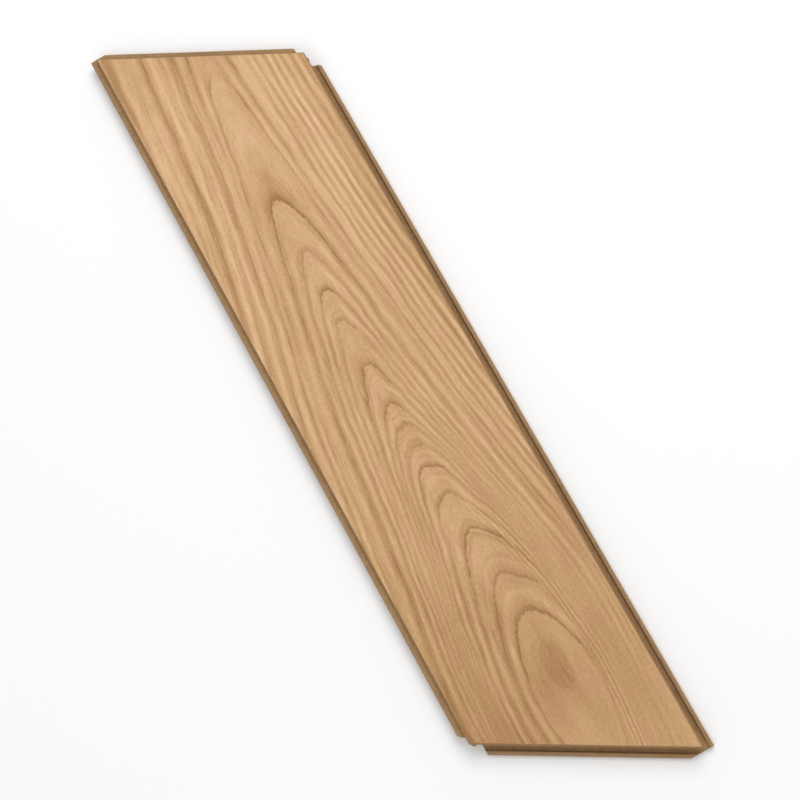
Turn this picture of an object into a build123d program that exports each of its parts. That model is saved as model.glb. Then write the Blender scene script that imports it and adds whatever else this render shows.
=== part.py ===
from build123d import *

import os
from math import cos, radians, sin, tan

# A chevron-cut laminate floor plank with a click joint milled along all four sides.
# The plank is one pressed board. X runs along the grain, from the tongue end to the groove end, Y runs
# square across it, from the tongue edge to the groove edge, and Z is up. The origin is the middle of the
# laid module, the slanted outline that the four joint faces bound, on the underside. Sizes are in mm.

# The laid module, measured from joint face to joint face, tip to tip along the grain
overall_length = 600.0
plank_width = 125.0
thickness = 12.0
cut_angle = 60.0

# Milled break along the four upper edges, 45 degrees
bevel = 0.8

# Groove side: an upper lip, the groove, and a lower lip that ends in a locking hook
upper_lip = 3.8
groove_height = 4.3
groove_depth = 5.0
lower_lip_reach = 6.0
channel_floor = 2.2
channel_start = 0.9
channel_end = 2.6
lock_angle = 60.0
hook_crest = 1.4
hook_nose_drop = 1.3

# Tongue side: the groove side's counterpart, less the room that lets it turn in
play = 0.1
lock_play = 0.05
nose_play = 0.4
recess_play = 0.4

# Radii inside the groove, on the tongue's nose and on the lip's edges, and the break on the lower edges
groove_radius = 1.0
nose_radius = 1.3
hook_radius = 0.3
lower_break = 0.5

# How far tongue and lip may stand past the two sharp tips, along the grain, before they are cut square
tip_allowance = 1.0

# What follows from them
edge_length = overall_length - plank_width / tan(radians(cut_angle))
end_span = edge_length * sin(radians(cut_angle))
blank_length = overall_length + 2 * tip_allowance
groove_roof = thickness - upper_lip
groove_floor = groove_roof - groove_height
channel_depth = groove_floor - channel_floor
lock_run = channel_depth / tan(radians(lock_angle))
hook_start = channel_end + lock_run
hook_end = hook_start + hook_crest


def groove_corners():
    """Corners of the groove side as (distance outside the joint face, height, radius), from the top down."""
    return [
        (-bevel, thickness, 0),
        (0, thickness - bevel, 0),
        (0, groove_roof, 0),
        (-groove_depth, groove_roof, groove_radius),
        (-groove_depth, groove_floor, groove_radius),
        (channel_start - channel_depth, groove_floor, hook_radius),
        (channel_start, channel_floor, 0),
        (channel_end, channel_floor, 0),
        (hook_start, groove_floor, hook_radius),
        (hook_end, groove_floor, hook_radius),
        (lower_lip_reach, groove_floor - hook_nose_drop, hook_radius),
        (lower_lip_reach, lower_break, 0),
        (lower_lip_reach - lower_break, 0, 0),
    ]


def tongue_corners():
    """Corners of the tongue side as (distance outside the joint face, height, radius), from the top down."""
    tongue_reach = groove_depth - nose_play
    knee_height = channel_floor + play
    recess_roof = groove_floor + play
    lock_face_low = channel_end - lock_play + play / tan(radians(lock_angle))
    lock_face_high = hook_start - lock_play + play / tan(radians(lock_angle))
    recess_wall = lower_lip_reach + recess_play
    return [
        (-bevel, thickness, 0),
        (0, thickness - bevel, 0),
        (0, groove_roof - play, 0),
        (tongue_reach, groove_roof - play, nose_radius),
        (tongue_reach, groove_floor + play, nose_radius),
        (channel_depth - channel_start, groove_floor + play, 0),
        (-channel_start, knee_height, 0),
        (-lock_face_low, knee_height, 0),
        (-lock_face_high, recess_roof, 0),
        (-recess_wall, recess_roof, 0),
        (-recess_wall, lower_break, 0),
        (-recess_wall - lower_break, 0, 0),
    ]


def click_section(span):
    """Section of the board across two opposite joints whose faces are span apart, tongue to the left."""
    groove_side = [(span / 2 + out, height, radius) for out, height, radius in groove_corners()]
    tongue_side = [(-span / 2 - out, height, radius) for out, height, radius in tongue_corners()]
    corners = groove_side + tongue_side[::-1]
    with BuildSketch() as section:
        with BuildLine():
            FilletPolyline(
                [(across, height) for across, height, _ in corners],
                radius=[radius for _, _, radius in corners],
                close=True,
            )
        make_face()
    return section.sketch


end_normal = Vector(sin(radians(cut_angle)), -cos(radians(cut_angle)), 0)
end_plane = Plane(origin=(0, 0, 0), x_dir=end_normal, z_dir=end_normal.cross(Vector(0, 0, 1)))

# The long sides are milled on a square-cut blank, and the slanted ends are then milled right across it
with BuildPart() as milled:
    with BuildSketch(Plane.YZ.offset(-blank_length / 2)):
        add(click_section(plank_width))
    extrude(amount=blank_length)
    with BuildSketch(end_plane.offset(-blank_length / 2)):
        add(click_section(end_span))
    extrude(amount=blank_length, mode=Mode.INTERSECT)

# Where two joints cross, the cutters may leave a loose crumb at a sharp tip, which falls away
with BuildPart() as plank:
    add(milled.part.solids().sort_by(SortBy.VOLUME)[-1])

plank.part.label = "plank"

os.makedirs("parts", exist_ok=True)
export_step(plank.part, "parts/plank.step")
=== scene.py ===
"""A chevron-cut laminate floor plank, dressed: oak decor with pressed grain, milled core, bevels and back.

Lengths in the dataclasses are in millimetres and are turned into metres where a mesh is made. The growth
rings of the decor are worked out once, on the mesh, so that the pressed grain and the colours stay in
register. The floor, the lamps and the camera are placed in metres.
"""

import logging
import math
from dataclasses import dataclass, field
from enum import Enum
from typing import Any

import bmesh
import bpy
import numpy as np
from mathutils import Matrix, Vector


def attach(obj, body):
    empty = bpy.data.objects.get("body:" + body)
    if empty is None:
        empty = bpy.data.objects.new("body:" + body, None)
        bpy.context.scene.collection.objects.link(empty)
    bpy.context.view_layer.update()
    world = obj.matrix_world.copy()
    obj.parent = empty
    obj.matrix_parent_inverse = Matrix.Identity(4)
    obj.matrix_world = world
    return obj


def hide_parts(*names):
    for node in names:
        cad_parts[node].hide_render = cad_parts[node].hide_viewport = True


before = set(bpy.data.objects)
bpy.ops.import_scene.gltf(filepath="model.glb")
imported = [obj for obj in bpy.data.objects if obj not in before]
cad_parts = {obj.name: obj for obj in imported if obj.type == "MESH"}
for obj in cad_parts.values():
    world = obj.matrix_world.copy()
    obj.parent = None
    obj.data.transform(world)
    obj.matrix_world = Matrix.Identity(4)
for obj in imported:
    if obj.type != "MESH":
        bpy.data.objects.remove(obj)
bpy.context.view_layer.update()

MM = 0.001
SAME_HEIGHT = 0.01 * MM
RING_ATTRIBUTE = "ring_count"
GAP_ATTRIBUTE = "ring_gap"

log = logging.getLogger("plank")


class Zone(Enum):
    """The finishes on the plank, in the order of its material slots."""

    DECOR = 0
    BEVEL = 1
    CORE = 2
    BACKING = 3


def linear(red: int, green: int, blue: int) -> tuple[float, float, float, float]:
    """Turns a display colour into the linear colour that a shader takes.

    Args:
        red: red from 0 to 255.
        green: green from 0 to 255.
        blue: blue from 0 to 255.

    Returns:
        The linear colour with full alpha.
    """
    shown = [channel / 255 for channel in (red, green, blue)]
    lit = [part / 12.92 if part <= 0.04045 else ((part + 0.055) / 1.055) ** 2.4 for part in shown]
    return (*lit, 1.0)


class Value:
    """A number that varies over a surface. Its signs add Math nodes."""

    def __init__(self, graph: "Graph", socket: bpy.types.NodeSocket) -> None:
        """Wraps one output socket of a graph."""
        self.graph = graph
        self.socket = socket

    def _math(self, operation: str, *others: "Value | float", swapped: bool = False) -> "Value":
        """Adds one Math node.

        Args:
            operation: the Math node's operation.
            others: the further inputs.
            swapped: whether the one other input comes first.

        Returns:
            The node's result.
        """
        terms = [self, *others]
        if swapped:
            terms.reverse()
        made = self.graph.node("ShaderNodeMath", {"operation": operation}, dict(enumerate(terms)))
        return Value(self.graph, made.outputs[0])

    def __add__(self, other: "Value | float") -> "Value":
        """Sum."""
        return self._math("ADD", other)

    def __sub__(self, other: "Value | float") -> "Value":
        """Difference."""
        return self._math("SUBTRACT", other)

    def __rsub__(self, other: float) -> "Value":
        """Difference with the number first."""
        return self._math("SUBTRACT", other, swapped=True)

    def __mul__(self, other: "Value | float") -> "Value":
        """Product."""
        return self._math("MULTIPLY", other)

    def __truediv__(self, other: "Value | float") -> "Value":
        """Quotient."""
        return self._math("DIVIDE", other)

    def __pow__(self, other: "Value | float") -> "Value":
        """Power."""
        return self._math("POWER", other)

    __radd__ = __add__
    __rmul__ = __mul__

    def whole(self) -> "Value":
        """The whole part."""
        return self._math("FLOOR")

    def rest(self) -> "Value":
        """What is left above the whole part."""
        return self._math("FRACT")

    def most(self, other: "Value") -> "Value":
        """The larger of two."""
        return self._math("MAXIMUM", other)

    def size(self) -> "Value":
        """The value without its sign."""
        return self._math("ABSOLUTE")

    def sine(self) -> "Value":
        """The sine of an angle in radians."""
        return self._math("SINE")

    def exponential(self) -> "Value":
        """e to this power."""
        return self._math("EXPONENT")

    def above(self, low: float, high: float) -> "Value":
        """Rises smoothly from 0 at low to 1 at high.

        Args:
            low: where the rise starts.
            high: where the rise ends, and below low for a fall.

        Returns:
            The smooth step.
        """
        settings = {"interpolation_type": "SMOOTHSTEP"}
        sockets = {"Value": self, "From Min": low, "From Max": high}
        made = self.graph.node("ShaderNodeMapRange", settings, sockets)
        return Value(self.graph, made.outputs["Result"])


class Graph:
    """The node tree of one material or of the world."""

    def __init__(self, name: str, world: bool = False) -> None:
        """Starts a material, or the world, with an empty tree.

        Args:
            name: its name.
            world: whether it is the world.
        """
        self.owner = (bpy.data.worlds if world else bpy.data.materials).new(name)
        self.owner.use_nodes = True
        self.tree = self.owner.node_tree
        self.tree.nodes.clear()
        self.output = self.node("ShaderNodeOutputWorld" if world else "ShaderNodeOutputMaterial")

    def node(self, kind: str, settings: dict[str, Any] | None = None,
             sockets: dict[str | int, Any] | None = None) -> bpy.types.Node:
        """Adds a node.

        Args:
            kind: the node's type.
            settings: its own settings, with a ramp's stops under "stops".
            sockets: a value or link for each input that isn't left as it is.

        Returns:
            The new node.
        """
        made = self.tree.nodes.new(kind)
        for name, setting in (settings or {}).items():
            if name == "stops":
                self._set_stops(made.color_ramp, setting)
            else:
                setattr(made, name, setting)
        for name, given in (sockets or {}).items():
            source = given.socket if isinstance(given, Value) else given
            if isinstance(source, bpy.types.NodeSocket):
                self.tree.links.new(source, made.inputs[name])
            else:
                made.inputs[name].default_value = source
        return made

    @staticmethod
    def _set_stops(ramp: bpy.types.ColorRamp, stops: list[tuple[float, tuple[float, ...]]]) -> None:
        """Gives a ramp its stops.

        Args:
            ramp: the ramp of a new node, which has two stops.
            stops: place and colour of each stop, from left to right.
        """
        for _ in stops[2:]:
            ramp.elements.new(0.5)
        for element, (place, colour) in zip(ramp.elements, stops):
            element.position = place
            element.color = colour

    def place(self) -> tuple[Value, Value, Value]:
        """The shaded point in its object's own frame, in millimetres.

        Returns:
            Its places along the plank's grain, across it and up.
        """
        coordinates = self.node("ShaderNodeTexCoord").outputs["Object"]
        parts = self.node("ShaderNodeSeparateXYZ", {}, {"Vector": coordinates})
        return tuple(Value(self, parts.outputs[axis]) * (1 / MM) for axis in "XYZ")

    def noise(self, along: Value, across: Value, up: Value | float = 0.0, detail: float = 2.0,
              roughness: float = 0.5) -> Value:
        """Cloudy noise about 0, within about 0.5 each way, with cells of size 1.

        Args:
            along: first coordinate.
            across: second coordinate.
            up: third coordinate.
            detail: the number of finer layers.
            roughness: how strong each finer layer is.

        Returns:
            The noise.
        """
        where = self.node("ShaderNodeCombineXYZ", {}, {"X": along, "Y": across, "Z": up})
        sockets = {"Vector": where.outputs[0], "Scale": 1.0, "Detail": detail, "Roughness": roughness}
        made = self.node("ShaderNodeTexNoise", {}, sockets)
        return Value(self, made.outputs["Fac"]) - 0.5

    def ramp(self, tone: Value, stops: list[tuple[float, tuple[float, ...]]]) -> bpy.types.NodeSocket:
        """A colour for each tone.

        Args:
            tone: a value from 0 to 1.
            stops: place and colour of each stop.

        Returns:
            The colour.
        """
        return self.node("ShaderNodeValToRGB", {"stops": stops}, {"Fac": tone}).outputs["Color"]

    def mix(self, factor: Value, first: Any, second: Any) -> bpy.types.NodeSocket:
        """Mixes two colours.

        Args:
            factor: how much of the second colour there is, from 0 to 1.
            first: the first colour.
            second: the second colour.

        Returns:
            The mixed colour.
        """
        return self.node("ShaderNodeMix", {"data_type": "RGBA"}, {0: factor, 6: first, 7: second}).outputs[2]

    def surface(self, colour: bpy.types.NodeSocket, roughness: Value, height: Value, depth: float,
                specular: float) -> bpy.types.Material:
        """Closes the graph with a Principled shader.

        Args:
            colour: the base colour.
            roughness: the roughness.
            height: the fine relief, about 0 to 1.
            depth: the height of that relief in millimetres.
            specular: the shader's specular level.

        Returns:
            The finished material.
        """
        bump = self.node("ShaderNodeBump", {}, {"Height": height, "Strength": 1.0, "Distance": depth * MM})
        sockets = {
            "Base Color": colour,
            "Roughness": roughness,
            "Normal": bump.outputs["Normal"],
            "Specular IOR Level": specular,
        }
        return self.close(self.node("ShaderNodeBsdfPrincipled", {}, sockets))

    def close(self, shader: bpy.types.Node) -> bpy.types.Material | bpy.types.World:
        """Ends the graph in a shader.

        Args:
            shader: the shader's node.

        Returns:
            The finished material or world.
        """
        self.tree.links.new(shader.outputs[0], self.output.inputs["Surface"])
        return self.owner

    def seen(self) -> Value:
        """Where the camera looks, straight or through a reflection or glass.

        Returns:
            1 for such a ray, 0 for light on its way to something else.
        """
        rays = self.node("ShaderNodeLightPath").outputs
        straight, mirrored, through = (
            Value(self, rays[name]) for name in ("Is Camera Ray", "Is Glossy Ray", "Is Transmission Ray")
        )
        return straight.most(mirrored).most(through)


class SmoothNoise:
    """Seeded noise on a square lattice, between -1 and 1, the same at each run."""

    CELLS = 64

    def __init__(self, seed: int) -> None:
        """Draws the lattice."""
        self.lattice = np.random.default_rng(seed).uniform(-1, 1, (self.CELLS, self.CELLS))

    def __call__(self, along: np.ndarray, across: np.ndarray) -> np.ndarray:
        """Reads the noise.

        Args:
            along: first coordinate, in cells.
            across: second coordinate, in cells.

        Returns:
            The noise at each point.
        """
        column, row = np.floor(along).astype(int), np.floor(across).astype(int)
        right, down = self._ease(along - column), self._ease(across - row)
        near = self._at(column, row) * (1 - right) + self._at(column + 1, row) * right
        far = self._at(column, row + 1) * (1 - right) + self._at(column + 1, row + 1) * right
        return near * (1 - down) + far * down

    def _at(self, column: np.ndarray, row: np.ndarray) -> np.ndarray:
        """The lattice's numbers, repeated endlessly."""
        return self.lattice[column % self.CELLS, row % self.CELLS]

    @staticmethod
    def _ease(part: np.ndarray) -> np.ndarray:
        """Smooth step with level ends."""
        return part ** 3 * (part * (6 * part - 15) + 10)


def step_between(value: np.ndarray, low: Any, high: Any) -> np.ndarray:
    """Rises smoothly from 0 at low to 1 at high.

    Args:
        value: the numbers.
        low: where the rise starts.
        high: where it ends.

    Returns:
        The smooth step of each number.
    """
    part = np.clip((value - low) / (high - low), 0, 1)
    return part * part * (3 - 2 * part)


def smooth_curve(points: tuple[tuple[float, float], ...], at: np.ndarray) -> np.ndarray:
    """A smooth curve through points.

    Args:
        points: (place, value) pairs, from left to right.
        at: the places where it is read, inside the points' reach.

    Returns:
        The curve's value at each place.
    """
    places, values = (np.array(column, dtype=float) for column in zip(*points))
    slopes = np.gradient(values, places)
    left = np.clip(np.searchsorted(places, at, side="right") - 1, 0, len(places) - 2)
    width = places[left + 1] - places[left]
    part = (at - places[left]) / width
    start = (1 + 2 * part) * (1 - part) ** 2 * values[left] + part * (1 - part) ** 2 * width * slopes[left]
    end = part ** 2 * (3 - 2 * part) * values[left + 1] + part ** 2 * (part - 1) * width * slopes[left + 1]
    return start + end


@dataclass(frozen=True)
class Spot:
    """A soft oval spot on the face, in millimetres.

    Its reach is how far it goes along the grain and across it before it has faded to about a third.
    """

    middle: tuple[float, float]
    reach: tuple[float, float]

    def far(self, along: Value, across: Value) -> Value:
        """How far a point is from the middle.

        Args:
            along: place along the grain.
            across: place across it.

        Returns:
            The square of the distance, 0 in the middle and 1 at the reach.
        """
        far_along = (along - self.middle[0]) / self.reach[0]
        far_across = (across - self.middle[1]) / self.reach[1]
        return far_along ** 2.0 + far_across ** 2.0

    def on(self, along: Value, across: Value) -> Value:
        """The spot's strength, 1 in the middle and fading to 0."""
        return (self.far(along, across) * -1.0).exponential()


@dataclass(frozen=True)
class GrowthRings:
    """The flat-sawn figure: the saw cuts growth rings along a tapering trunk, which leaves nested arches.

    A point's ring radius comes from its distance to the arches' middle line, spread differently on the two
    sides, and from how deep the heart of the trunk lies under the face there. A ring's own radius follows
    from the place where its arch begins. Places along the grain and across it are counted from the middle
    of the plank.
    """

    middle_line: tuple[tuple[float, float], ...] = (
        (-310, 3.5), (-210, -1.0), (-120, -3.8), (-60, -4.5), (0, -4.0), (60, 0.0), (120, 5.0), (310, 6.0),
    )
    heart_depth: tuple[tuple[float, float], ...] = (
        (-310, 57), (-180, 50), (-60, 40.5), (60, 32.5), (120, 26), (170, 19.5), (220, 14), (270, 16),
        (310, 23),
    )
    tongue_spread: tuple[tuple[float, float], ...] = (
        (-310, 2.6), (-150, 2.2), (0, 0.9), (150, 0.5), (310, 0.5),
    )
    groove_spread: tuple[tuple[float, float], ...] = (
        (-310, 1.8), (-150, 1.6), (0, 1.2), (310, 1.4),
    )
    arch_starts: tuple[float, ...] = (172, 145, 113, 85, 62, 45, 25, 10, -20, -52, -75, -103, -147, -250)
    outer_rings: int = 8
    outer_width: float = 3.0
    outer_growth: float = 1.63
    bundle_top: tuple[float, float] = (228.0, 34.0)
    bundle_reach: float = 28.0
    widest_gap: float = 40.0
    marks: tuple[float, ...] = (
        0.6, 0.78, 0.75, 0.75, 0.6, 0.5, 0.5, 0.5, 0.6, 0.8, 0.6, 0.8, 0.65, 0.75, 0.65, 0.85, 0.75, 0.95,
        0.6, 0.9, 0.7, 0.95, 0.8,
    )

    def count(self, along: np.ndarray, across: np.ndarray) -> np.ndarray:
        """The number of growth rings from the heart out to a point of the face.

        Args:
            along: places along the grain, in millimetres.
            across: places across it.

        Returns:
            The ring count, which is whole at the start of each ring.
        """
        broad, wavy, fine = SmoothNoise(3), SmoothNoise(5), SmoothNoise(8)
        aside = across - smooth_curve(self.middle_line, along)
        aside = aside + 0.9 * broad(along / 90, across / 30) + 0.6 * wavy(along / 30, across / 10)
        aside = self._crowded(along, aside + 0.25 * fine(along / 9, across / 3))
        loose = 1 - 0.55 * step_between(along, 90, 190)
        below = smooth_curve(self.heart_depth, along) ** 2
        below = below + loose * 26 * wavy(along / 32 + 9, across / 10 + 4)
        below = below + loose * 14 * fine(along / 11 + 3, across / 4 + 7)
        spread = np.where(
            aside > 0, smooth_curve(self.groove_spread, along), smooth_curve(self.tongue_spread, along)
        )
        radius = np.sqrt(np.maximum(below, 0) + spread * aside ** 2)
        radii = self._radii()
        return np.interp(radius, radii, np.arange(len(radii), dtype=float))

    def _radii(self) -> np.ndarray:
        """The radii at which the rings begin, from the heart outwards, with the outer rings ever wider.

        Returns:
            The radii in millimetres, the heart's own 0 first.
        """
        inner = smooth_curve(self.heart_depth, np.array(self.arch_starts, dtype=float))
        outer = inner[-1] + self.outer_width * np.arange(1, self.outer_rings + 1) ** self.outer_growth
        return np.concatenate(([0.0], inner, outer))

    @classmethod
    def bundle_line(cls, along: Any) -> Any:
        """The line beside the eye, on the groove side, that the crowded rings follow.

        Args:
            along: places along the grain, as numbers or as a shader value.

        Returns:
            The line's places across the grain, of the same kind.
        """
        return cls.bundle_top[1] - ((along - cls.bundle_top[0]) / cls.bundle_reach) ** 2.0

    def _crowded(self, along: np.ndarray, aside: np.ndarray) -> np.ndarray:
        """Draws the rings beside the eye together, on the groove side.

        Args:
            along: places along the grain, in millimetres.
            aside: distances to the middle line, above 0 on the groove side.

        Returns:
            The distances that the rings follow.
        """
        amount = step_between(along, 70, 170) * (aside > 0)
        place = self.bundle_line(along) - smooth_curve(self.middle_line, along)
        beyond = step_between(aside, place - 3, place + 4)
        return aside - amount * (0.5 * aside * (1 - beyond) + 4 * beyond)

    def gap(self, along: np.ndarray, across: np.ndarray) -> np.ndarray:
        """The width of the ring on the face at a point.

        Args:
            along: places along the grain, in millimetres.
            across: places across it.

        Returns:
            The widths in millimetres, at most the widest gap.
        """
        step = 0.4
        rise_along = self.count(along + step, across) - self.count(along - step, across)
        rise_across = self.count(along, across + step) - self.count(along, across - step)
        rise = np.maximum(np.hypot(rise_along, rise_across), 1e-6)
        return np.minimum(2 * step / rise, self.widest_gap)

    def strength(self, count: np.ndarray) -> np.ndarray:
        """How marked the ring is at a point.

        Args:
            count: the ring counts.

        Returns:
            The strengths, up to 1.
        """
        return np.interp(np.floor(count), np.arange(len(self.marks)), self.marks)


@dataclass(frozen=True)
class OakDecor:
    """The pressed oak face: rings, finer lines, pores, fibres, the eye and the slow drift of tone."""

    # Strengths, as parts of the tone, which runs from 0, dark, to 1, light
    ground: float = 0.605
    wave: float = 0.195
    line: float = 0.09
    band: float = 0.19
    fade: float = 0.13
    bright_rim: float = 0.06
    feather: float = 0.17
    pore: float = 0.14
    fine_line: float = 0.11
    hair_line: float = 0.09
    streak: float = 0.46
    fibre: float = 0.26
    fleck: float = 0.32
    cloud: float = 0.36
    browning: float = 0.24
    eye: float = 0.17
    bundle: float = 0.13
    smudge: float = 0.13
    glow: float = 0.07

    # How far the marks of a ring reach, in millimetres
    line_width: float = 1.2
    inner_width: float = 0.9
    rim_place: float = 1.2
    band_width: float = 2.6
    fade_width: float = 7.0
    splinter: float = 4.0
    fine_width: float = 0.8
    hair_width: float = 0.45
    bundle_width: float = 4.6
    bundle_spacing: float = 2.7

    # How many finer lines there are in a ring
    fine_per_ring: float = 2.3
    hair_per_ring: float = 5.1

    # The ring widths over which arches and flank stripes appear, and the counts over which arches end
    arch_gaps: tuple[float, float] = (7.0, 13.0)
    arch_counts: tuple[float, float] = (16.0, 14.5)
    flank_gaps: tuple[float, float] = (0.8, 5.8)

    # Places on the face
    first_tip: Spot = Spot((-250, 5), (20, 9))
    first_shade: Spot = Spot((-225, 5), (34, 6))
    smudge_spot: Spot = Spot((-163, 0), (20, 7))
    edge_shade: Spot = Spot((130, 54), (40, 11))
    eye_core: Spot = Spot((212, 9.5), (17, 7.5))
    eye_tail: Spot = Spot((232, 13), (20, 5))
    eye_shade: Spot = Spot((224, -2), (30, 10))
    glow_spot: Spot = Spot((250, 5), (14, 7))

    # The shader's own values, and the colours from dark to light
    roughness: float = 0.52
    relief: float = 0.08
    specular: float = 0.4
    tones: tuple[float, ...] = (0.0, 0.25, 0.5, 0.75, 1.0)
    yellow: tuple[tuple[int, int, int], ...] = (
        (152, 112, 61), (176, 136, 84), (200, 161, 109), (221, 184, 134), (239, 206, 159),
    )
    pink: tuple[tuple[int, int, int], ...] = (
        (156, 111, 66), (179, 133, 89), (202, 157, 114), (223, 180, 139), (240, 202, 164),
    )

    def _browned(self, along: Value, across: Value) -> Value:
        """The slow drift of tone: browner to the groove end and at both tips, lighter round the eye.

        Args:
            along: place along the grain.
            across: place across it.

        Returns:
            How brown the face is, from about 0 to 1.
        """
        return (
            along.above(-240, 60) * 0.3
            + along.above(60, 235) * 0.7
            + along.above(-228, -268) * 0.4
            + across.above(42, 58) * along.above(40, -30) * 0.45
            + across.above(-12, -26) * along.above(200, 250) * 0.4
            + self.edge_shade.on(along, across) * 0.35
            + self.first_shade.on(along, across) * 0.35
            - across.above(-16, -4) * along.above(150, 190) * 0.25
        )

    @staticmethod
    def _wave(count: Value, per_ring: float) -> Value:
        """Even dark and light stripes.

        Args:
            count: the ring count.
            per_ring: how many stripes there are in a ring.

        Returns:
            1 at the start of a ring, -1 between two stripes.
        """
        return (count * (2 * math.pi * per_ring) + math.pi / 2).sine()

    @staticmethod
    def _finer_lines(count: Value, gap: Value, along: Value, per_ring: float, width: float) -> Value:
        """Thin broken lines between the ring starts.

        Args:
            count: the ring count.
            gap: the width of the ring in millimetres.
            along: place along the grain.
            per_ring: how many lines there are in a ring.
            width: how far a line reaches before it has faded to a third, in millimetres.

        Returns:
            About 1 on a line, fading to 0.
        """
        graph = count.graph
        bent = count * per_ring + graph.noise(count * 0.9, along / 45) * 1.6
        broken = graph.noise(bent.whole() * 7.3, along / 22, detail=3.0) * 3.0 + 0.75
        distance = (bent.rest() - 0.5).size() * gap / per_ring
        return (distance / -width).exponential() * broken.above(0.0, 1.3)

    def material(self) -> bpy.types.Material:
        """Makes the material.

        Returns:
            The oak face's material.
        """
        graph = Graph("oak_decor")
        along, across, _ = graph.place()
        smooth_count, gap = (
            Value(graph, graph.node("ShaderNodeAttribute", {"attribute_name": name}).outputs["Fac"])
            for name in (RING_ATTRIBUTE, GAP_ATTRIBUTE)
        )
        fibres = graph.noise(along / 10, across / 0.8, detail=4.0, roughness=0.65)
        splinters = graph.noise(along / 12, across / 1.3, detail=3.0, roughness=0.6)
        arch = gap.above(*self.arch_gaps) * smooth_count.above(*self.arch_counts)
        count = smooth_count + splinters * arch * self.splinter / gap
        drift = graph.noise(along / 60, across / 18)
        streaks = graph.noise(count * 3.1, along / 60, detail=4.0, roughness=0.68)
        ring_noise = graph.noise(count.whole() * 5.7, along / 28, detail=3.0)
        last = len(GrowthRings.marks) - 1
        marks = [(place / last, (mark, mark, mark, 1.0)) for place, mark in enumerate(GrowthRings.marks)]
        strength = Value(graph, graph.ramp(count.whole() / last, marks)) * (ring_noise * 2.2 + 1.0)
        calm = 1.0 - along.above(90, 170) * (across - along * 0.08).above(14, 26) * 0.4
        closing = 1.0 - along.above(200, 250) * across.above(-14, 0) * 0.5
        tip = 1.0 - self.first_tip.on(along, across) * 0.9
        core = count.above(0.5, 0.9)
        inner = (1.0 - count.rest()) * gap
        outer = count.rest() * gap
        doubled = count.above(15.0, 16.5) * across.above(0, 8)
        halved = along.above(-40, -140) * across.above(-8, -20)
        wave = (
            self._wave(count, 1) * (1.0 - doubled - halved * 0.5)
            + self._wave(count, 2) * doubled
            + self._wave(count, 0.5) * halved * 0.5
        )
        flank = wave * strength * gap.above(*self.flank_gaps) * (1.0 - arch * 0.8) * (halved * 0.3 + 1.0)
        line = (outer / -self.line_width).exponential() + (inner / -self.inner_width).exponential()
        line = line * strength
        band = (outer / -self.band_width).exponential() * strength
        fade = (outer / -self.fade_width).exponential() * strength
        rim = ((inner - self.rim_place).size() / -self.inner_width).exponential() * strength
        ring = line * self.line + band * self.band + fade * self.fade - rim * self.bright_rim
        ring = ring * (count.above(0.5, 4.0) * 0.3 + 0.7)
        fine = self._finer_lines(count, gap, along, self.fine_per_ring, self.fine_width)
        hair = self._finer_lines(count, gap, along, self.hair_per_ring, self.hair_width)
        marked = (drift * 1.4 + 1.0) * calm * closing * core * tip
        feathers = (fibres * 2.4 + (wave * 0.35 + band * arch * 0.9) * marked).above(0.25, 1.1)
        flecks = graph.noise(along / 2.2, across / 1.3, detail=2.0)
        pores = graph.noise(along / 5, across / 0.34, detail=2.0).above(0.08, 0.26) * (wave * 0.3 + 0.7)
        cloud = graph.noise(along / 95, across / 13, detail=3.0)
        hue = graph.noise(along / 42, across / 13, detail=2.0) * 2.0 + 0.5
        tone = (
            self.ground
            - marked * flank * self.wave
            - marked * arch * ring
            - feathers * self.feather
            - pores * self.pore
            - marked * fine * (halved + 1.0) * self.fine_line
            - self._bundle(graph, along, across) * self.bundle
            - marked * hair * self.hair_line
            + streaks * calm * self.streak
            + fibres * self.fibre
            + flecks * self.fleck
            + cloud * self.cloud
            - self._browned(along, across) * self.browning
            - self._eye(graph, along, across) * self.eye
            - self.smudge_spot.on(along, across) * self.smudge
            + self.glow_spot.on(along, across) * self.glow
        )
        ramps = [
            graph.ramp(tone, [(place, linear(*shade)) for place, shade in zip(self.tones, shades)])
            for shades in (self.yellow, self.pink)
        ]
        height = 0.6 - line * 0.2 - feathers * 0.4 - pores * 0.4 + fibres * 0.3
        roughness = self.roughness + feathers * 0.12 + fibres * 0.1
        return graph.surface(graph.mix(hue, *ramps), roughness, height, self.relief, self.specular)

    def _bundle(self, graph: Graph, along: Value, across: Value) -> Value:
        """The few narrow rings that pass close together beside the eye, on the groove side.

        Args:
            graph: the decor's node tree.
            along: place along the grain.
            across: place across it.

        Returns:
            1 on a line, -1 between two lines, fading to 0 on both sides of the bundle.
        """
        beside = across - GrowthRings.bundle_line(along) + graph.noise(along / 40, across / 12) * 3.0
        broken = graph.noise(along / 25, across / 2.0, detail=2.0) * 2.0 + 1.0
        near = ((beside / self.bundle_width) ** 2.0 * -1.0).exponential() * along.above(80, 115)
        return (beside * (2 * math.pi / self.bundle_spacing)).sine() * near * broken

    def _eye(self, graph: Graph, along: Value, across: Value) -> Value:
        """The dark streaky core that the rings close round.

        Args:
            graph: the decor's node tree.
            along: place along the grain.
            across: place across it.

        Returns:
            About 1 in the core, 0 outside.
        """
        ragged = graph.noise(along / 13, across / 2.6, detail=3.0, roughness=0.6)
        far = self.eye_core.far(along, across) + ragged * 2.2
        tail = self.eye_tail.on(along, across) * (ragged * 2.6 + 0.9)
        shade = self.eye_shade.on(along, across)
        return far.above(1.3, 0.95) * (ragged * 2.6 + 0.75) + tail * 0.6 + shade * 0.35


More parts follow.
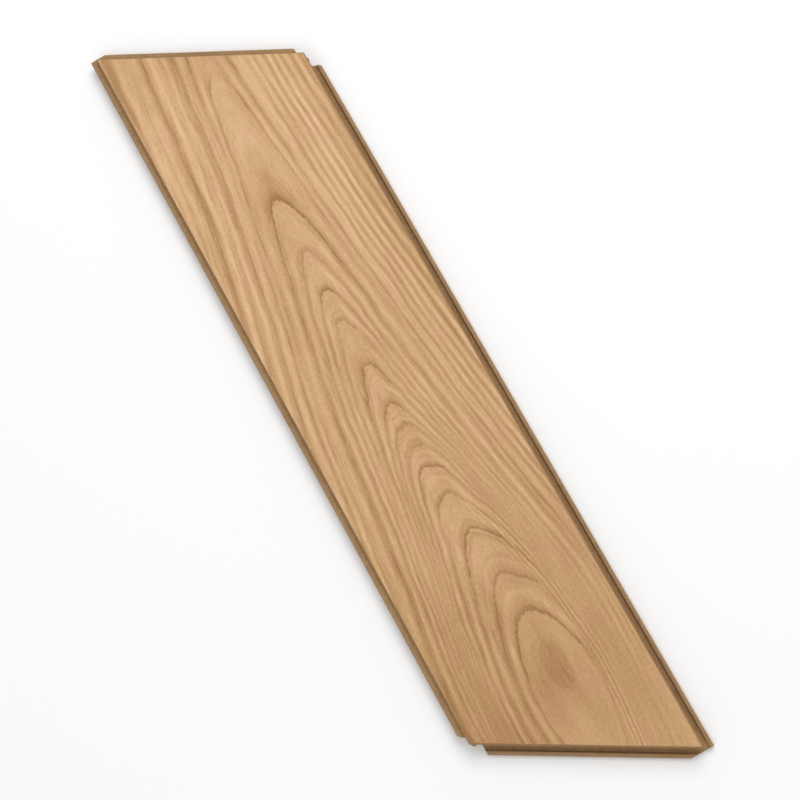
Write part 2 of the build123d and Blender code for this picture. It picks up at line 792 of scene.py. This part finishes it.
@dataclass(frozen=True)
class BevelFinish:
    """The milled and stained break along the upper edges."""

    dark: tuple[int, int, int] = (132, 94, 56)
    light: tuple[int, int, int] = (176, 134, 90)
    roughness: float = 0.55
    relief: float = 0.05
    specular: float = 0.4

    def material(self) -> bpy.types.Material:
        """Makes the material.

        Returns:
            The bevel's material.
        """
        graph = Graph("stained_bevel")
        along, across, up = graph.place()
        streaks = graph.noise(along / 6, across / 0.9, up / 0.5, detail=3.0)
        patches = graph.noise(along / 25, across / 25, up / 5)
        tone = streaks * 0.9 + patches * 0.5 + 0.5
        colour = graph.ramp(tone, [(0.1, linear(*self.dark)), (0.9, linear(*self.light))])
        roughness = self.roughness + streaks * 0.1
        return graph.surface(colour, roughness, streaks + 0.5, self.relief, self.specular)


@dataclass(frozen=True)
class MilledCore:
    """Bare milled fibreboard: felted fibres, denser and darker towards both faces, with cutter lines."""

    dark: tuple[int, int, int] = (126, 94, 62)
    middle: tuple[int, int, int] = (158, 124, 86)
    light: tuple[int, int, int] = (186, 153, 112)
    half_thickness: float = 6.0
    roughness: float = 0.82
    relief: float = 0.12
    specular: float = 0.3

    def material(self) -> bpy.types.Material:
        """Makes the material.

        Returns:
            The core's material.
        """
        graph = Graph("milled_core")
        along, across, up = graph.place()
        felt = graph.noise(along / 0.9, across / 0.9, up / 0.35, detail=3.0, roughness=0.6)
        clumps = graph.noise(along / 5, across / 5, up / 1.5, detail=2.0)
        cutter = graph.noise(along / 45, across / 45, up / 0.16, detail=1.0)
        dense = (up - self.half_thickness) / self.half_thickness
        strands = graph.noise(along / 2.4, across / 2.4, up / 0.14, detail=2.0).above(0.08, 0.28)
        tone = 0.6 + felt * 0.75 + clumps * 0.35 + cutter * 0.22 - strands * 0.22 - dense ** 2.0 * 0.22
        stops = [(0.15, linear(*self.dark)), (0.5, linear(*self.middle)), (0.9, linear(*self.light))]
        height = felt + cutter * 0.8 + 0.5
        roughness = self.roughness + felt * 0.1
        return graph.surface(graph.ramp(tone, stops), roughness, height, self.relief, self.specular)


@dataclass(frozen=True)
class BackingPaper:
    """The smooth brown balancing sheet on the underside."""

    dark: tuple[int, int, int] = (150, 118, 82)
    light: tuple[int, int, int] = (190, 158, 118)
    roughness: float = 0.6
    relief: float = 0.03
    specular: float = 0.4

    def material(self) -> bpy.types.Material:
        """Makes the material.

        Returns:
            The underside's material.
        """
        graph = Graph("backing_paper")
        along, across, _ = graph.place()
        fibres = graph.noise(along / 2.5, across / 0.5, detail=3.0, roughness=0.6)
        crossed = graph.noise(along / 0.6, across / 2.0, detail=2.0)
        clouds = graph.noise(along / 30, across / 22, detail=3.0)
        tone = 0.5 + fibres * 0.45 + crossed * 0.3 + clouds * 0.5
        colour = graph.ramp(tone, [(0.1, linear(*self.dark)), (0.9, linear(*self.light))])
        height = fibres + crossed + 0.5
        roughness = self.roughness + clouds * 0.12
        return graph.surface(colour, roughness, height, self.relief, self.specular)


@dataclass
class Plank:
    """The plank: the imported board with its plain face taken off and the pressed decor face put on."""

    cells_along: int = 250
    cells_across: int = 325
    press_depth: float = 0.04
    press_outer_width: float = 1.6
    press_inner_width: float = 1.0
    edge_rest: float = 0.9
    bevel_depth: float = 0.8
    crease: float = 40.0
    rings: GrowthRings = field(default_factory=GrowthRings)
    decor: OakDecor = field(default_factory=OakDecor)
    bevel: BevelFinish = field(default_factory=BevelFinish)
    core: MilledCore = field(default_factory=MilledCore)
    backing: BackingPaper = field(default_factory=BackingPaper)

    def build(self, node: bpy.types.Object) -> bpy.types.Object:
        """Builds and dresses the plank.

        Args:
            node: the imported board, which gives all its sizes.

        Returns:
            The finished piece.
        """
        shape = bmesh.new()
        shape.from_mesh(node.data)
        bmesh.ops.remove_doubles(shape, verts=shape.verts, dist=0.001 * MM)
        bmesh.ops.dissolve_limit(
            shape, angle_limit=math.radians(0.2), verts=list(shape.verts), edges=list(shape.edges)
        )
        corners = self._take_off_face(shape)
        self._put_on_decor(shape, corners)
        shape.normal_update()
        self._mark_zones(shape)
        self._mark_creases(shape)
        mesh = bpy.data.meshes.new("oak_plank")
        shape.to_mesh(mesh)
        shape.free()
        self._number_rings(mesh)
        for finish in (self.decor, self.bevel, self.core, self.backing):
            mesh.materials.append(finish.material())
        piece = bpy.data.objects.new("oak_plank", mesh)
        bpy.context.scene.collection.objects.link(piece)
        return piece

    @staticmethod
    def _take_off_face(shape: bmesh.types.BMesh) -> list[Vector]:
        """Takes the flat upper face off.

        Args:
            shape: the board.

        Returns:
            The corners of the upper face, in order: tongue end and edge, then on along the tongue edge.
        """
        top = max(vert.co.z for vert in shape.verts)
        face = max((f for f in shape.faces if min(v.co.z for v in f.verts) > top - SAME_HEIGHT),
                   key=lambda f: f.calc_area())
        corners = [vert.co.copy() for vert in face.verts]
        bmesh.ops.delete(shape, geom=[face], context="FACES_ONLY")
        near = sorted(sorted(corners, key=lambda c: c.y)[:2], key=lambda c: c.x)
        far = sorted(sorted(corners, key=lambda c: c.y)[2:], key=lambda c: c.x)
        return [near[0], near[1], far[1], far[0]]

    def _put_on_decor(self, shape: bmesh.types.BMesh, corners: list[Vector]) -> None:
        """Puts the pressed face on, joined to the four bevels.

        Args:
            shape: the board without its upper face.
            corners: the corners of that face.
        """
        across, along = np.meshgrid(
            np.linspace(0, 1, self.cells_across + 1), np.linspace(0, 1, self.cells_along + 1), indexing="ij"
        )
        near = np.multiply.outer(1 - along, corners[0]) + np.multiply.outer(along, corners[1])
        far = np.multiply.outer(1 - along, corners[3]) + np.multiply.outer(along, corners[2])
        points = near * (1 - across)[..., None] + far * across[..., None]
        points[..., 2] -= self._press(points, corners) * MM
        grid = [[shape.verts.new(point) for point in row] for row in points]
        for row, next_row in zip(grid, grid[1:]):
            for place in range(self.cells_along):
                shape.faces.new((row[place], row[place + 1], next_row[place + 1], next_row[place]))
        self._join_bevels(shape, grid)

    def _press(self, points: np.ndarray, corners: list[Vector]) -> np.ndarray:
        """How deep the face is pressed in: deepest at the start of a ring, nothing at the edges.

        Args:
            points: the face's points, in metres.
            corners: its corners.

        Returns:
            The depth at each point, in millimetres.
        """
        along, across = points[..., 0] / MM, points[..., 1] / MM
        count = self.rings.count(along, across)
        strength = self.rings.strength(count)
        gap = self.rings.gap(along, across)
        outer, inner = (count % 1.0) * gap, (1 - count % 1.0) * gap
        ring = np.maximum(np.exp(-outer / self.press_outer_width), np.exp(-inner / self.press_inner_width))
        ring = ring * strength
        pores = SmoothNoise(41)(along / 6.0, across / 0.75)
        open_pores = np.clip(pores - 0.25, 0, 1) * (0.5 + ring)
        slant = (corners[3] - corners[0]).normalized()
        to_end = Vector((slant.y, -slant.x, 0))
        reach = np.minimum(
            np.minimum(across - corners[0].y / MM, corners[2].y / MM - across),
            np.minimum(
                (points - np.array(corners[0])) @ np.array(to_end),
                (np.array(corners[1]) - points) @ np.array(to_end),
            ) / MM,
        )
        rest = np.clip(reach / self.edge_rest, 0, 1)
        return self.press_depth * rest * np.clip(0.75 * ring + 0.6 * open_pores, 0, 1)

    def _join_bevels(self, shape: bmesh.types.BMesh, grid: list[list[bmesh.types.BMVert]]) -> None:
        """Lets the four bevels run along the decor's edge points, so that the board stays closed.

        Args:
            shape: the board with its new face.
            grid: the face's points, in rows from the tongue edge.
        """
        sides = [
            grid[0],
            [row[-1] for row in grid],
            grid[-1][::-1],
            [row[0] for row in grid][::-1],
        ]
        top = grid[0][0].co.z
        for rim in sides:
            old = self._bevel_on(shape, rim[0].co, rim[-1].co, top)
            lower = [vert for vert in old.verts if vert.co.z < top - 0.5 * self.bevel_depth * MM]
            lower.sort(key=lambda vert: (vert.co - rim[0].co).length)
            bmesh.ops.delete(shape, geom=[old], context="FACES_ONLY")
            shape.faces.new([lower[0], lower[1], *reversed(rim)])
        loose = [vert for vert in shape.verts if not vert.link_faces]
        bmesh.ops.delete(shape, geom=loose, context="VERTS")

    @staticmethod
    def _bevel_on(shape: bmesh.types.BMesh, start: Vector, end: Vector, top: float) -> bmesh.types.BMFace:
        """Finds the bevel that touches the upper face between two corners.

        Args:
            shape: the board.
            start: one corner.
            end: the other corner.
            top: the height of the upper face.

        Returns:
            The bevel's face.
        """
        for face in shape.faces:
            if len(face.verts) != 4 or not 0.5 < abs(face.normal.z) < 0.9:
                continue
            upper = [vert.co for vert in face.verts if vert.co.z > top - SAME_HEIGHT]
            if len(upper) == 2 and all(min((co - corner).length for co in upper) < SAME_HEIGHT
                                       for corner in (start, end)):
                return face
        raise ValueError("the board has no bevel along one side of its upper face")

    def _mark_zones(self, shape: bmesh.types.BMesh) -> None:
        """Gives each face the finish of its zone.

        Args:
            shape: the board.
        """
        top = max(vert.co.z for vert in shape.verts)
        for face in shape.faces:
            lowest = min(vert.co.z for vert in face.verts)
            highest = max(vert.co.z for vert in face.verts)
            if lowest > top - 2 * self.press_depth * MM:
                zone = Zone.DECOR
            elif lowest > top - 1.2 * self.bevel_depth * MM and highest > top - SAME_HEIGHT:
                zone = Zone.BEVEL
            elif highest < SAME_HEIGHT:
                zone = Zone.BACKING
            else:
                zone = Zone.CORE
            face.material_index = zone.value

    def _mark_creases(self, shape: bmesh.types.BMesh) -> None:
        """Shades rounded stretches smooth and keeps real edges sharp.

        Args:
            shape: the board.
        """
        for face in shape.faces:
            face.smooth = True
        for edge in shape.edges:
            if edge.is_manifold and edge.calc_face_angle() > math.radians(self.crease):
                edge.smooth = False

    def _number_rings(self, mesh: bpy.types.Mesh) -> None:
        """Writes the ring count and the ring's width on every point of the mesh, for the decor's colours.

        Args:
            mesh: the finished mesh.
        """
        places = np.empty(len(mesh.vertices) * 3, dtype=np.float32)
        mesh.vertices.foreach_get("co", places)
        places = places.reshape(-1, 3) / MM
        along, across = places[:, 0].astype(float), places[:, 1].astype(float)
        for name, measure in ((RING_ATTRIBUTE, self.rings.count), (GAP_ATTRIBUTE, self.rings.gap)):
            attribute = mesh.attributes.new(name, "FLOAT", "POINT")
            attribute.data.foreach_set("value", measure(along, across).astype(np.float32))


@dataclass(frozen=True)
class Lamp:
    """One square soft lamp, with its place and side in metres and its power in watts."""

    name: str
    place: tuple[float, float, float]
    side: float
    power: float

    def hang(self) -> None:
        """Hangs the lamp, turned to the plank."""
        data = bpy.data.lights.new(self.name, "AREA")
        data.size = self.side
        data.energy = self.power
        lamp = bpy.data.objects.new(self.name, data)
        lamp.location = self.place
        lamp.rotation_euler = (-Vector(self.place)).to_track_quat("-Z", "Y").to_euler()
        bpy.context.scene.collection.objects.link(lamp)


@dataclass
class Studio:
    """The pale floor, the soft lamps, the world and the camera."""

    station: tuple[float, float, float] = (0.3658, 0.0506, 1.3562)
    aim: tuple[float, float, float] = (0.0147, 0.0046, 0.012)
    roll: float = -37.03
    lens: float = 97.26
    floor_size: float = 12.0
    floor_gap: float = 0.0003
    floor_tone: float = 0.8
    floor_seen: float = 1.0
    floor_fade: tuple[float, float] = (350.0, 750.0)
    world_level: float = 0.55
    key: Lamp = Lamp("key_lamp", (-0.9, 0.9, 1.7), 1.6, 22.0)
    fill: Lamp = Lamp("fill_lamp", (1.3, -1.1, 1.9), 2.0, 12.1)

    def build(self) -> None:
        """Builds floor, light and camera."""
        scene = bpy.context.scene
        scene.view_settings.view_transform = "Standard"
        self._floor()
        self._world()
        self.key.hang()
        self.fill.hang()
        scene.camera = self._camera()

    def _floor(self) -> None:
        """Lays the floor: with the plank's shadow on it, and seen as plain white farther away."""
        half = self.floor_size / 2
        mesh = bpy.data.meshes.new("floor")
        corners = [(-half, -half), (half, -half), (half, half), (-half, half)]
        mesh.from_pydata([(x, y, -self.floor_gap) for x, y in corners], [], [(0, 1, 2, 3)])
        floor = bpy.data.objects.new("floor", mesh)
        bpy.context.scene.collection.objects.link(floor)
        graph = Graph("pale_floor")
        along, across, _ = graph.place()
        away = (along ** 2.0 + across ** 2.0) ** 0.5
        seen = graph.seen()
        tones = [(tone, tone, tone, 1.0) for tone in (self.floor_tone, self.floor_seen)]
        sockets = {"Base Color": graph.mix(seen, *tones), "Roughness": 0.9, "Specular IOR Level": 0.0}
        near = graph.node("ShaderNodeBsdfPrincipled", {}, sockets).outputs[0]
        white = graph.node("ShaderNodeEmission", {}, {"Strength": 1.0}).outputs[0]
        fading = seen * away.above(*self.floor_fade)
        shader = graph.node("ShaderNodeMixShader", {}, {0: fading, 1: near, 2: white})
        mesh.materials.append(graph.close(shader))

    def _world(self) -> None:
        """Lights the scene evenly, and is white where it is seen."""
        graph = Graph("studio", world=True)
        sockets = [{"Color": (1.0, 1.0, 1.0, 1.0), "Strength": level} for level in (self.world_level, 1.0)]
        light, white = (graph.node("ShaderNodeBackground", {}, given).outputs[0] for given in sockets)
        shader = graph.node("ShaderNodeMixShader", {}, {0: graph.seen(), 1: light, 2: white})
        bpy.context.scene.world = graph.close(shader)

    def _camera(self) -> bpy.types.Object:
        """Sets the camera up at the photograph's station, aimed at the plank.

        Returns:
            The camera.
        """
        data = bpy.data.cameras.new("camera")
        data.lens = self.lens
        camera = bpy.data.objects.new("camera", data)
        back = (Vector(self.station) - Vector(self.aim)).normalized()
        level = Vector((0, 0, 1)).cross(back).normalized()
        rise = back.cross(level)
        turn = math.radians(self.roll)
        right = level * math.cos(turn) + rise * math.sin(turn)
        up = back.cross(right)
        turned = Matrix((right, up, back)).transposed().to_4x4()
        camera.matrix_world = Matrix.Translation(self.station) @ turned
        bpy.context.scene.collection.objects.link(camera)
        return camera


def main() -> None:
    """Builds the plank and its studio."""
    plank = Plank().build(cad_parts["plank"])
    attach(plank, "root")
    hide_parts("plank")
    log.info("%s has %d faces", plank.name, len(plank.data.polygons))
    Studio().build()


if __name__ == "__main__":
    logging.basicConfig(level=logging.INFO, format="%(name)s: %(message)s")
    main()
